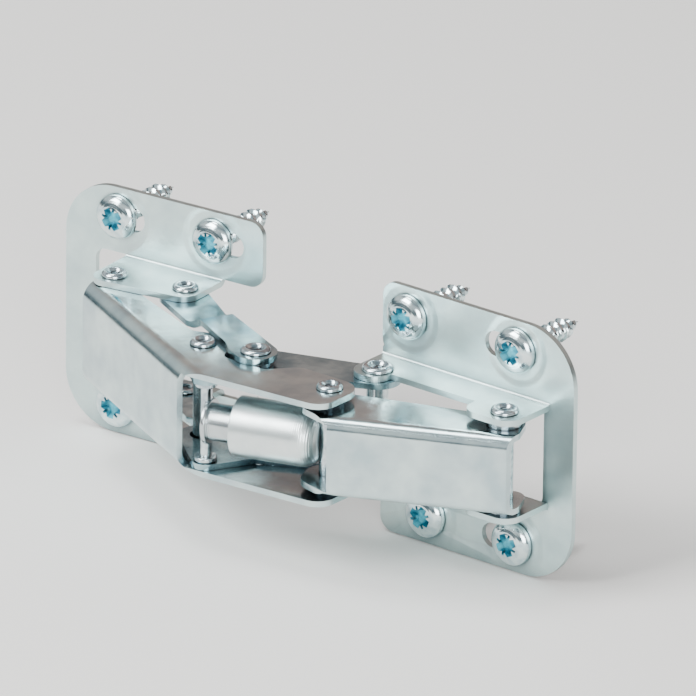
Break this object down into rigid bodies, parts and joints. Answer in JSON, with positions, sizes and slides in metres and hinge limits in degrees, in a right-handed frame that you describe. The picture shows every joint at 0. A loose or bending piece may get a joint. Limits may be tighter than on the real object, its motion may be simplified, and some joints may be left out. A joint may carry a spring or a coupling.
{
  "type": "spring hinge",
  "caption": "Multi-link sprung cabinet hinge: two C-shaped screw plates, a long pressed arm, a cover link, crossing levers and a spring in a barrel between the links.",
  "frame": {"origin": "middle of the cabinet plate's spine strip, on its back face", "axes": "+X along the cabinet plate away from the joint, +Y into the panel that the plate is screwed to, +Z along the pins, upwards"},
  "size_m": [0.1082, 0.0481, 0.0434],
  "materials": {
    "zinc_sheet": "bright zinc-plated pressed sheet",
    "zinc_pin": "zinc-plated spun rivet",
    "screw_zinc": "blue-passivated zinc",
    "barrel_steel": "nickel-plated drawn cup",
    "spring_steel": "oiled spring wire"
  },
  "bodies": {
    "cabinet_side": {"cabinet_plate": "zinc_sheet", "lever_pin": "zinc_pin", "cover_pin": "zinc_pin", "cover_spacer_upper": "zinc_pin", "cover_spacer_lower": "zinc_pin", "cabinet_screw_1": "screw_zinc", "cabinet_screw_2": "screw_zinc", "cabinet_screw_3": "screw_zinc", "cabinet_screw_4": "screw_zinc"},
    "cover": {"cover_link": "zinc_sheet"},
    "lever": {"crossing_lever_upper": "zinc_sheet", "crossing_lever_lower": "zinc_sheet", "spring_pin": "zinc_pin"},
    "arm": {"long_arm": "zinc_sheet", "crossing_pin": "zinc_pin", "arm_joint_pin": "zinc_pin", "joint_spacer_upper": "zinc_pin", "joint_spacer_lower": "zinc_pin"},
    "door_side": {"door_plate": "zinc_sheet", "door_arm_pin": "zinc_pin", "guide_rivet_upper": "zinc_pin", "guide_rivet_lower": "zinc_pin", "door_screw_1": "screw_zinc", "door_screw_2": "screw_zinc", "door_screw_3": "screw_zinc", "door_screw_4": "screw_zinc"},
    "guide": {"guide_link_upper": "zinc_sheet", "guide_link_lower": "zinc_sheet", "link_rivet_upper": "zinc_pin", "link_rivet_lower": "zinc_pin", "link_spacer_upper": "zinc_pin", "link_spacer_lower": "zinc_pin"},
    "barrel": {"spring_barrel": "barrel_steel"},
    "plunger": {"spring_plunger": "barrel_steel", "compression_spring": "spring_steel"}
  },
  "joints": [
    {"name": "cover_fold", "type": "hinge", "parent": "cabinet_side", "child": "cover", "pos_m": [-0.00572, -0.00779, 0], "axis": [0, 0, 1], "range_deg": [0, 110.15], "stiffness_Nm_per_rad": 0.01, "springref_deg": -57.3},
    {"name": "lever_fold", "type": "hinge", "parent": "cabinet_side", "child": "lever", "pos_m": [-0.03241, -0.00693, 0], "axis": [0, 0, 1], "range_deg": [0, 110]},
    {"name": "arm_fold", "type": "hinge", "parent": "cover", "child": "arm", "pos_m": [-0.03325, -0.01823, 0], "axis": [0, 0, 1], "range_deg": [-106.5, 0]},
    {"name": "door_fold", "type": "hinge", "parent": "arm", "child": "door_side", "pos_m": [-0.08902, -0.0053, 0], "axis": [0, 0, 1], "range_deg": [0, 81.2]},
    {"name": "guide_fold", "type": "hinge", "parent": "door_side", "child": "guide", "pos_m": [-0.07655, -0.00218, 0], "axis": [0, 0, 1], "range_deg": [-82.5, 0]},
    {"name": "barrel_swing", "type": "hinge", "parent": "arm", "child": "barrel", "pos_m": [-0.03325, -0.01823, 0], "axis": [0, 0, 1], "range_deg": [-47.4, 0]},
    {"name": "plunger_swing", "type": "hinge", "parent": "lever", "child": "plunger", "pos_m": [-0.0536, -0.0247, 0], "axis": [0, 0, 1], "range_deg": [-152.7, 0]}
  ],
  "couplings": [
    {"joint": "lever_fold", "follows": "cover_fold", "ratio": 0.9934},
    {"joint": "arm_fold", "follows": "cover_fold", "ratio": -0.96207},
    {"joint": "door_fold", "follows": "cover_fold", "ratio": 0.73371},
    {"joint": "guide_fold", "follows": "cover_fold", "ratio": -0.74536},
    {"joint": "barrel_swing", "follows": "cover_fold", "ratio": -0.42649},
    {"joint": "plunger_swing", "follows": "cover_fold", "ratio": -1.382}
  ]
}
